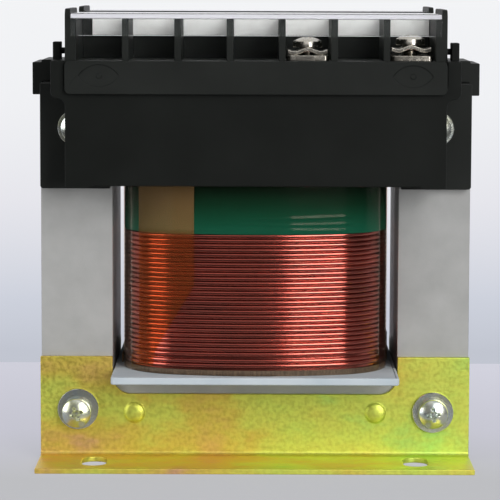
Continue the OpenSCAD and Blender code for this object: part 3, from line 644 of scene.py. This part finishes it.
def tapeWrinkles(s, z):
    # ridges that run round the tape: each is a bell curve in height, strongest right of the middle
    out = np.zeros(np.broadcast(s, z).shape)
    side = (s + 0.5) % 1 - 0.5
    for height, climb, wide, tall, at, spread in wrinkles["ridges"]:
        line = height + climb * side + 0.25 * np.sin(side * 19 + height)
        out += tall * np.exp(-((z - line) / wide) ** 2) * np.exp(-((side - at) / spread) ** 2)
    out += wrinkles["ripple"] * np.sin(z * 2.1 + 9 * side) * np.sin(side * 31)
    return out


def buildCoil():
    innerLayers = coilSleeve(wireLow[2], wireHigh[2], coil["bandIn"], coil["bandOut"])
    makePiece("coilTurns", [coilTurns(), innerLayers], magnetWire, ["secondary_winding"], 60)
    makePiece("coilMarginTape", [
        coilSleeve(marginLow[2], marginHigh[2], coil["tapeIn"], coil["marginOut"], rows=4),
        coilPatch(*coil["marginLap"], marginLow[2] + 0.02, marginHigh[2] - 0.04, 0.1, 0.0, 90)],
        marginFinish, ["margin_tape"], 50)
    makePiece("coilGreenTape", [
        coilSleeve(tapeLow[2] - 0.1, tapeHigh[2], coil["tapeIn"], coil["greenOut"], 320, 70, tapeWrinkles)],
        greenFinish, ["green_tape"], 60)
    makePiece("coilFilm", [
        coilSleeve(filmLow[2] + 0.05, filmHigh[2], coil["filmIn"], coil["filmOut"], 200, 24)],
        clearFilm, ["outer_film"], 60)
    makePiece("coilTabTape", [tabPatch(marginHigh[2] + 0.2, filmHigh[2])], amberTape, [], 60)


buildCoil()
for name, finish in (("primary_winding", magnetWire), ("winding_insulation", kraftPaper),
                     ("paper_liners", kraftPaper), ("front_leads", magnetWire), ("rear_leads", magnetWire)):
    nodes[name].data.materials.clear()
    nodes[name].data.materials.append(finish)
print("coil wound")


# Bobbin, feet and mouldings: CAD shapes with rounded edges

boss = {"x": 23.7, "z": 9.4, "reach": 2.2, "faceY": 16.7, "height": 0.7, "side": 0.12, "rings": 6}


def domedBosses(verts, faces):
    # each flat boss becomes a dome: its rim drops almost to the plate, and rings of radius R cos t
    # stand h sin t above it, for t from 0 to nearly a quarter turn
    verts, kept = [np.array(v) for v in verts], []
    for face in faces:
        p = np.array([verts[i] for i in face]) / mm
        fromBoss = np.hypot(np.abs(p[:, 0]) - boss["x"], p[:, 2] - boss["z"])
        if (np.abs(np.abs(p[:, 1]) - boss["faceY"]) > 0.01).any() or (fromBoss > boss["reach"]).any():
            kept.append(face)
            continue
        sign, middle = np.sign(p[0, 1]), p.mean(0)
        rim = sign * (boss["faceY"] - boss["height"] + boss["side"])
        last = face
        for i in face:
            verts[i][1] = rim * mm
        for k in range(1, boss["rings"]):
            t = math.pi / 2 * k / boss["rings"]
            ring = middle + (p - middle) * math.cos(t)
            ring[:, 1] = rim + sign * (boss["height"] - boss["side"]) * math.sin(t)
            new = list(range(len(verts), len(verts) + len(face)))
            verts += list(ring * mm)
            kept += [[last[j], last[(j + 1) % len(face)], new[(j + 1) % len(face)], new[j]]
                     for j in range(len(face))]
            last = new
        kept.append(last)
    return [tuple(v) for v in verts], kept


rounding = {  # millimetres
    "bobbin": 0.3, "foot": 0.16, "bridge": 0.2, "frame": 0.15, "housing": 0.15, "strip": 0.12, "cover": 0.12,
    "marker": 0.06, "plates": 0.1, "clamps": 0.12}
softCopy("bobbinMoulded", "bobbin", rounding["bobbin"], milkyNylon, 3)
for side, end in (("front", "Front"), ("rear", "Rear")):
    softCopy("foot" + end, side + "_foot", rounding["foot"], yellowZinc, 2, domedBosses)
for side, end in (("front", "Front"), ("rear", "Rear")):
    for part, finish, slot in (
            ("frame", blackPlastic["Frame"], "black_plastic"),
            ("housing", blackPlastic["Housing"], "black_plastic"),
            ("strip", blackPlastic["Strip"], "black_plastic"), ("cover", clearPlastic, "clear_plastic"),
            ("marker", whiteCard, "marker_card"), ("plates", nickelPlate, "nickel"),
            ("clamps", nickelPlate, "nickel")):
        softCopy(part + end, side + "_" + part, rounding[part], finish)
softCopy("bridgeTop", "top_bridge", rounding["bridge"], blackPlastic["Frame"])
print("mouldings and feet finished")


# The fasteners, in millimetres; a spin is how far a head or a gap is turned, in radians

screw = {"headD": 5.7, "headH": 2.0, "domeR": 5.0, "shankD": 3.0, "smoothD": 2.9, "threadPitch": 0.5,
         "threadDepth": 0.27, "pointRun": 0.4, "pointShare": 0.75, "armHalf": 1.45, "armEnd": 0.55,
         "slotHalf": 0.34, "slotDepth": 1.15, "slope": 0.28, "armShare": 0.75, "coneR": 0.85,
         "coneRun": 0.5, "headRings": 30, "headAround": 96, "rodAround": 24, "spins": (0.35, 0.12)}
washer = {"thick": 0.8, "bore": 1.6, "lowerBore": 2.1, "edge": 0.12, "springD": 5.4, "springEdge": 0.08,
          "gapAt": 0.35, "halfGap": 0.14, "slip": (0.25, 0.5), "around": 64, "springAround": 60}
nut = {"flats": 5.5, "bore": 3.0, "boreCut": 0.2, "height": 2.4, "cut": 0.97, "coneDegrees": 28, "around": 72}
terminal = {"pitch": 9.9, "spin": 0.3, "spinStep": 1.1, "wireLift": 0.5, "depth": 5}


def panHead():
    # height over the disc: the dome, less the cross. Each arm of the cross is the smaller of two
    # ramps, one off its end and one off its side, and the centre is a cone
    outer, rings, around = screw["headD"] / 2, screw["headRings"], screw["headAround"]
    r = np.concatenate([np.linspace(0.04, 2.0, rings - 8), np.linspace(2.1, outer - 0.25, 8)])
    a = np.arange(around) * 2 * math.pi / around
    x, y = r[:, None] * np.cos(a), r[:, None] * np.sin(a)
    top = screw["headH"] - screw["domeR"] + np.sqrt(screw["domeR"] ** 2 - r[:, None] ** 2) + 0 * a

    def arm(along, over):
        return np.minimum((screw["armHalf"] - np.abs(along)) / screw["armEnd"],
                          (screw["slotHalf"] - np.abs(over)) / screw["slope"])
    cross = np.clip(np.maximum(arm(x, y), arm(y, x)), 0, 1)
    cone = np.clip((screw["coneR"] - r[:, None]) / screw["coneRun"], 0, 1) + 0 * a
    depth = screw["slotDepth"] * np.maximum(cross * cross * (3 - 2 * cross) * screw["armShare"], cone)
    top = top - depth
    edgeZ = screw["headH"] - screw["domeR"] + math.sqrt(screw["domeR"] ** 2 - outer ** 2)
    sideR = np.array([outer - 0.08, outer, outer, outer - 0.12])
    sideZ = np.array([edgeZ + 0.04, edgeZ - 0.16, 0.14, 0.0])
    rr = np.concatenate([r[:, None] + 0 * a, sideR[:, None] + 0 * a])
    zz = np.concatenate([top, sideZ[:, None] + 0 * a])
    return tube(np.stack([rr * np.cos(a), rr * np.sin(a), zz], -1))


def threadRod(z0, z1):
    # radius falls by a sawtooth of the height less the turn made, so that the ridges climb as a screw's
    rows = int((z1 - z0) / (screw["threadPitch"] / 6)) + 1
    z = np.linspace(z0, z1, rows)[:, None]
    around = screw["rodAround"]
    a = np.arange(around)[None, :] * 2 * math.pi / around
    phase = (z / screw["threadPitch"] - a / (2 * math.pi)) % 1
    share = screw["pointShare"]
    taper = np.clip((z - z0) / screw["pointRun"], 0, 1) * (1 - share) + share
    r = (screw["shankD"] / 2 - screw["threadDepth"] * (1 - np.abs(2 * phase - 1))) * taper
    return tube(np.stack([r * np.cos(a), r * np.sin(a), z + 0 * a], -1))


def smoothRod(z0, z1):
    # the rod's unthreaded part: one circle at each end
    a, d = np.arange(screw["rodAround"]) * 2 * math.pi / screw["rodAround"], screw["smoothD"]
    z = np.array([z0, z1])[:, None]
    return tube(np.stack([d / 2 * np.cos(a) + 0 * z, d / 2 * np.sin(a) + 0 * z, z + 0 * a], -1))


def ringSection(innerR, outerR, z0, z1, edge):
    # radius and height round a rectangle with cut corners
    a, b = innerR + edge, outerR - edge
    r = np.array([innerR, innerR, a, b, outerR, outerR, b, a])
    return r, np.array([z0 + edge, z1 - edge, z1, z1, z1 - edge, z0 + edge, z0, z0])


def turnedRing(innerR, outerR, z0, z1):
    # that section carried round a circle
    r, z = ringSection(innerR, outerR, z0, z1, washer["edge"])
    a = (np.arange(washer["around"]) * 2 * math.pi / washer["around"])[:, None]
    return hoop(np.stack([r * np.cos(a), r * np.sin(a), z + 0 * a], -1))


def splitRing(innerR, outerR, z0, z1):
    # the same section carried over 344 degrees, with its ends a little above and below each other
    first, around = washer["gapAt"] + washer["halfGap"], washer["springAround"]
    a = np.linspace(first, washer["gapAt"] + 2 * math.pi - washer["halfGap"], around)[:, None]
    tilt = np.linspace(0, 0.1, around)[:, None]
    r, z = ringSection(innerR, outerR, z0, z1, washer["springEdge"])
    return tube(np.stack([r * np.cos(a), r * np.sin(a), z + tilt - 0.05], -1))


def hexNut():
    # radius of a hexagon by angle, and corners cut by a cone at both ends
    flats, height = nut["flats"], nut["height"]
    a = (np.arange(nut["around"]) * 2 * math.pi / nut["around"])[:, None]
    wide = flats / 2 / np.cos((a + math.pi / 6) % (math.pi / 3) - math.pi / 6)
    drop = (wide - flats / 2 * nut["cut"]) * math.tan(math.radians(nut["coneDegrees"]))
    b, w = nut["bore"] / 2, flats / 2 * nut["cut"]
    c, flat = nut["boreCut"], 0 * a
    r = np.concatenate([b + flat, b + flat, b + c + flat, w + flat, wide, wide, w + flat, b + c + flat], 1)
    z = np.concatenate([c + flat, height - c + flat, height + flat, height + flat, height - drop, drop,
                        flat, flat], 1)
    return hoop(np.stack([r * np.cos(a), r * np.sin(a), z], -1))


def buildFasteners():
    washerT = washer["thick"]
    springs, nuts = [], []
    for level in ("lower", "upper"):
        low, high = nodeBox(level + "_screws")
        z = (low[2] + high[2]) / 2
        x = high[0] - screw["headD"] / 2
        face = low[1] + screw["headH"]
        washHigh = nodeBox(level + "_flat_washers")[1]
        heads, nutsY = [], washHigh[1]
        for sign, spin in zip((-1, 1), screw["spins"]):
            c, s = math.cos(spin), math.sin(spin)
            spun = np.array(((c, s, 0), (-s, c, 0), (0, 0, 1))) @ np.array(alongFront)
            heads += [moved(panHead(), (sign * x, face, z), spun),
                      moved(smoothRod(-(nutsY - face) + 0.1, 0.1), (sign * x, face, z), alongFront),
                      moved(threadRod(-(high[1] - face), -(nutsY - face)), (sign * x, face, z), alongFront)]
        makePiece("screws" + level.capitalize(), heads, brightZinc, [level + "_screws"], 32)
        flat = []
        outerR = washHigh[0] - x
        for sign in (-1, 1):
            slip = washer["slip"] if level == "lower" and sign < 0 else (0, 0)
            bore = washer["lowerBore"] if level == "lower" else washer["bore"]
            flat.append(moved(turnedRing(bore, outerR, 0, washerT),
                              (sign * x + slip[0], face + 2 * washerT, z + slip[1]), alongFront))
            flat.append(moved(turnedRing(bore, outerR, 0, washerT),
                              (sign * x, washHigh[1] - washerT, z), alongRear))
        makePiece("washers" + level.capitalize(), flat, brightZinc,
                  [level + "_flat_washers"], 32)
        for sign in (-1, 1):
            springs.append(moved(splitRing(washer["bore"], washer["springD"] / 2, 0.05, washerT - 0.05),
                                 (sign * x, face + washerT, z), alongFront))
            nuts.append(moved(hexNut(), (sign * x, nutsY, z), alongRear))
    makePiece("washersSpring", springs, brightZinc, ["spring_washers"], 32)
    makePiece("nutsHex", nuts, brightZinc, ["hex_nuts"], 25)
    for side, end, ways in (("front", "Front", (5, 7)), ("rear", "Rear", (1, 4, 7))):
        low, high = nodeBox(side + "_terminal_screws")
        y = (low[1] + high[1]) / 2
        flip = -1 if side == "rear" else 1
        parts = []
        for i, way in enumerate(ways):
            x = (way - 4) * terminal["pitch"] * flip
            under = high[2] - screw["headH"] - (0 if side == "rear" or way == 7 else terminal["wireLift"])
            spin = terminal["spin"] + terminal["spinStep"] * i
            c, s = math.cos(spin), math.sin(spin)
            parts += [moved(panHead(), (x, y, under), ((c, s, 0), (-s, c, 0), (0, 0, 1))),
                      moved(threadRod(-terminal["depth"], 0.1), (x, y, under))]
        makePiece("terminalScrews" + end, parts, nickelPlate, [side + "_terminal_screws"], 32)


buildFasteners()
print("fasteners set")


# Floor, background and lamps

stage = {  # metres; the floor's tone goes by share, which is d / (d + soften), d behind the table's edge
    "halfSize": 8, "frontEnd": -0.06, "frontTone": "#2a2a2c", "tableEdge": 0.1118,
    "tableFront": -0.06, "soften": 0.3, "tableGlow": 0.75, "roomLight": 0.22,
    "rearFrom": 0.5, "rearTo": 0.8,  # the share of a direction that points to the rear
    "tableStops": [(0.14, "#c6c7cb"), (0.45, "#d5d5e1"), (0.94, "#dfdfeb")], "stops": [
        (0.0, "#c1c5d0"), (0.069, "#c1c5d0"), (0.293, "#cdd1dc"), (0.608, "#e6e6ec"), (0.82, "#f0f1f4"),
        (1.0, "#f3f4f6")]}


def buildStage():
    h = stage["halfSize"]
    mesh = bpy.data.meshes.new("floor")
    mesh.from_pydata([(-h, -h, 0), (h, -h, 0), (h, h, 0), (-h, h, 0)], [], [(0, 1, 2, 3)])
    floor = bpy.data.objects.new("floor", mesh)
    scene.collection.objects.link(floor)
    finish, tree, surface, output, place = newFinish("paperFloor", {"Roughness": 0.9})
    y = addNode(tree, "SeparateXYZ", inputs={"Vector": place}).outputs["Y"]
    behind = addNode(tree, "Math", {"operation": "SUBTRACT"}, {0: y, 1: stage["tableEdge"]}).outputs[0]
    positive = addNode(tree, "Math", {"operation": "MAXIMUM"}, {0: behind, 1: 0.0}).outputs[0]
    plus = addNode(tree, "Math", {"operation": "ADD"}, {0: positive, 1: stage["soften"]}).outputs[0]
    share = addNode(tree, "Math", {"operation": "DIVIDE"}, {0: positive, 1: plus}).outputs[0]
    wall = addNode(tree, "ValToRGB", inputs={"Fac": share}, stops=stage["stops"]).outputs[0]
    isBehind = addNode(tree, "Math", {"operation": "GREATER_THAN"}, {0: behind, 1: 0.0}).outputs[0]
    along = addNode(tree, "MapRange", inputs={
        "Value": y, 1: stage["tableFront"], 2: stage["tableEdge"]}).outputs[0]
    table = addNode(tree, "ValToRGB", inputs={"Fac": along}, stops=stage["tableStops"]).outputs[0]
    tone = addNode(tree, "Mix", {"data_type": "RGBA"}, {0: isBehind, 6: table, 7: wall}).outputs[2]
    glow = addNode(tree, "Emission", inputs={"Color": tone, "Strength": 1.0})
    rays = addNode(tree, "LightPath")
    # the object's gloss sees no pale table in front of it from frontEnd on
    inFront = addNode(tree, "Math", {"operation": "LESS_THAN"}, {0: y, 1: stage["frontEnd"]}).outputs[0]
    unlit = addNode(tree, "Math", {"operation": "MULTIPLY"}, {
        0: rays.outputs["Is Glossy Ray"], 1: inFront}).outputs[0]
    shown = addNode(tree, "Mix", {"data_type": "RGBA"}, {
        0: unlit, 6: tone, 7: colour(stage["frontTone"])}).outputs[2]
    tree.links.new(shown, surface.inputs["Base Color"])
    seen = addNode(tree, "Math", {"operation": "MAXIMUM"}, {
        0: rays.outputs["Is Camera Ray"], 1: rays.outputs["Is Transmission Ray"]}).outputs[0]
    mirrored = addNode(tree, "Math", {"operation": "MULTIPLY"}, {
        0: rays.outputs["Is Glossy Ray"], 1: isBehind}).outputs[0]
    seen = addNode(tree, "Math", {"operation": "MAXIMUM"}, {0: seen, 1: mirrored}).outputs[0]
    # the table keeps a share of its own shading, and with it the object's shadow
    glowing = addNode(tree, "MapRange", inputs={"Value": isBehind, 3: stage["tableGlow"], 4: 1.0}).outputs[0]
    share = addNode(tree, "Math", {"operation": "MULTIPLY"}, {0: seen, 1: glowing}).outputs[0]
    addNode(tree, "MixShader", inputs={0: share, 1: surface.outputs[0], 2: glow.outputs[0]},
            into=output.inputs["Surface"])
    mesh.materials.append(finish)


def buildWorld():
    # dim where it lights the object; at full strength where it is seen, and in gloss that mirrors
    # what stands behind the object
    world = bpy.data.worlds.new("studio")
    scene.world = world
    world.use_nodes = True
    tree = world.node_tree
    tree.nodes.clear()
    dim = addNode(tree, "Background", inputs={"Color": colour("#f3f4f6"), "Strength": stage["roomLight"]})
    bright = addNode(tree, "Background", inputs={"Color": colour("#f3f4f6"), "Strength": 1.0})
    rays = addNode(tree, "LightPath")
    toRear = addNode(tree, "SeparateXYZ", inputs={
        "Vector": addNode(tree, "TexCoord").outputs["Generated"]}).outputs["Y"]
    rear = addNode(tree, "MapRange", inputs={
        "Value": toRear, 1: stage["rearFrom"], 2: stage["rearTo"]}).outputs[0]
    mirrored = addNode(tree, "Math", {"operation": "MULTIPLY"}, {
        0: rays.outputs["Is Glossy Ray"], 1: rear}).outputs[0]
    seen = addNode(tree, "Math", {"operation": "MAXIMUM"}, {
        0: rays.outputs["Is Camera Ray"], 1: rays.outputs["Is Transmission Ray"]}).outputs[0]
    seen = addNode(tree, "Math", {"operation": "MAXIMUM"}, {0: seen, 1: mirrored}).outputs[0]
    mix = addNode(tree, "MixShader", inputs={0: seen, 1: dim.outputs[0], 2: bright.outputs[0]})
    addNode(tree, "OutputWorld", inputs={"Surface": mix.outputs[0]})


lamps = [  # name, azimuth from the front towards +X, elevation, distance, width, height, power
    ("softboxRight", 29, 15, 1.1, 0.58, 0.9, 9.6),
    ("softboxLeft", -60, 15, 1.1, 0.6, 0.9, 4.6),
    ("overhead", 0, 78, 1.2, 1.2, 0.9, 1.1),
    ("frontFill", -8, 48, 1.3, 0.7, 0.4, 0.4)]


def buildLamps():
    low, high = (np.array(c) for c in cadBox)
    aim = Vector(((low[0] + high[0]) / 2, (low[1] + high[1]) / 2, (low[2] + high[2]) / 2))
    for name, azimuth, elevation, distance, wide, tall, power in lamps:
        a, e = math.radians(azimuth), math.radians(elevation)
        away = Vector((math.sin(a) * math.cos(e), -math.cos(a) * math.cos(e), math.sin(e)))
        light = bpy.data.lights.new(name, "AREA")
        light.shape, light.size, light.size_y, light.energy = "RECTANGLE", wide, tall, power
        lamp = bpy.data.objects.new(name, light)
        lamp.location = aim + away * distance
        lamp.rotation_euler = away.to_track_quat("Z", "Y").to_euler()
        scene.collection.objects.link(lamp)


buildStage()
buildWorld()
buildLamps()
scene.view_settings.view_transform = "Standard"
print("stage lit")
